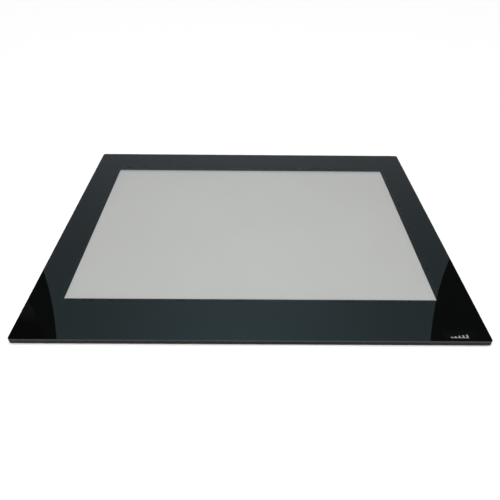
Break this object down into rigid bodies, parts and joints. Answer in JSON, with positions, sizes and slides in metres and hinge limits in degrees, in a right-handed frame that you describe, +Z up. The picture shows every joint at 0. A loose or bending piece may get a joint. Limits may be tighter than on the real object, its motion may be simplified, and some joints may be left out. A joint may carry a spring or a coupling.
{
  "type": "light box",
  "caption": "Thin edge-lit tracing pad: a glass top with a black printed border and an opal window, on rubber feet, with a side power key and a low-voltage socket in the rear edge.",
  "frame": {"origin": "on the surface that the pad lies on, under the middle of its outline", "axes": "+Z up out of the glass, +X to the user's right along the long side, +Y to the rear edge with the socket and the key"},
  "size_m": [0.368, 0.291, 0.0049],
  "materials": {
    "clear_glass": "polished, with a ground and polished bevel",
    "black_ink": "screen print seen through the glass",
    "grey_ink": "screen print seen through the glass",
    "black_plastic": "fine moulded texture",
    "black_coat": "fine powder coat",
    "opal_film": "matt diffusing film",
    "clear_acrylic": "polished, with a dot pattern on its underside",
    "white_film": "satin",
    "white_resin": "satin lacquer",
    "green_resin": "satin lacquer",
    "black_resin": "fine moulded texture",
    "ferrite": "matt",
    "tan_ceramic": "satin",
    "tin_plate": "bright plated",
    "black_steel": "blackened",
    "rubber": "matt",
    "label_film": "matt",
    "red_sleeve": "satin",
    "black_sleeve": "satin",
    "adhesive": "foam tape"
  },
  "bodies": {
    "pad": {"back_cover": "black_coat", "back_screw_01": "black_steel", "back_screw_02": "black_steel", "back_screw_03": "black_steel", "back_screw_04": "black_steel", "back_screw_05": "black_steel", "back_screw_06": "black_steel", "back_screw_07": "black_steel", "back_screw_08": "black_steel", "back_screw_09": "black_steel", "back_screw_10": "black_steel", "board_tape": "adhesive", "boost_inductor": "ferrite", "border_print": "black_ink", "cover_glass": "clear_glass", "diffuser_sheet": "opal_film", "driver_board": "green_resin", "driver_chip": "black_resin", "front_lamp_bar": "white_resin", "front_left_foot": "rubber", "front_middle_foot": "rubber", "front_right_foot": "rubber", "front_wire_black": "black_sleeve", "front_wire_red": "red_sleeve", "glass_tape": "adhesive", "input_capacitor": "tan_ceramic", "key_switch": "black_resin", "level_mark": "grey_ink", "light_guide": "clear_acrylic", "middle_frame": "black_plastic", "output_capacitor": "tan_ceramic", "power_socket": "tin_plate", "rating_label": "label_film", "rear_lamp_bar": "white_resin", "rear_left_foot": "rubber", "rear_middle_foot": "rubber", "rear_right_foot": "rubber", "rear_wire_black": "black_sleeve", "rear_wire_red": "red_sleeve", "rectifier_diode": "black_resin", "reflector_sheet": "white_film", "side_frame": "black_plastic", "socket_tongue": "black_resin"},
    "key": {"power_key": "black_plastic", "switch_plunger": "white_resin"}
  },
  "joints": [
    {"name": "power_key_press", "type": "slide", "parent": "pad", "child": "key", "axis": [0, -1, 0], "range_m": [0, 0.00035], "stiffness_N_per_m": 3000, "springref_m": -0.0001}
  ]
}
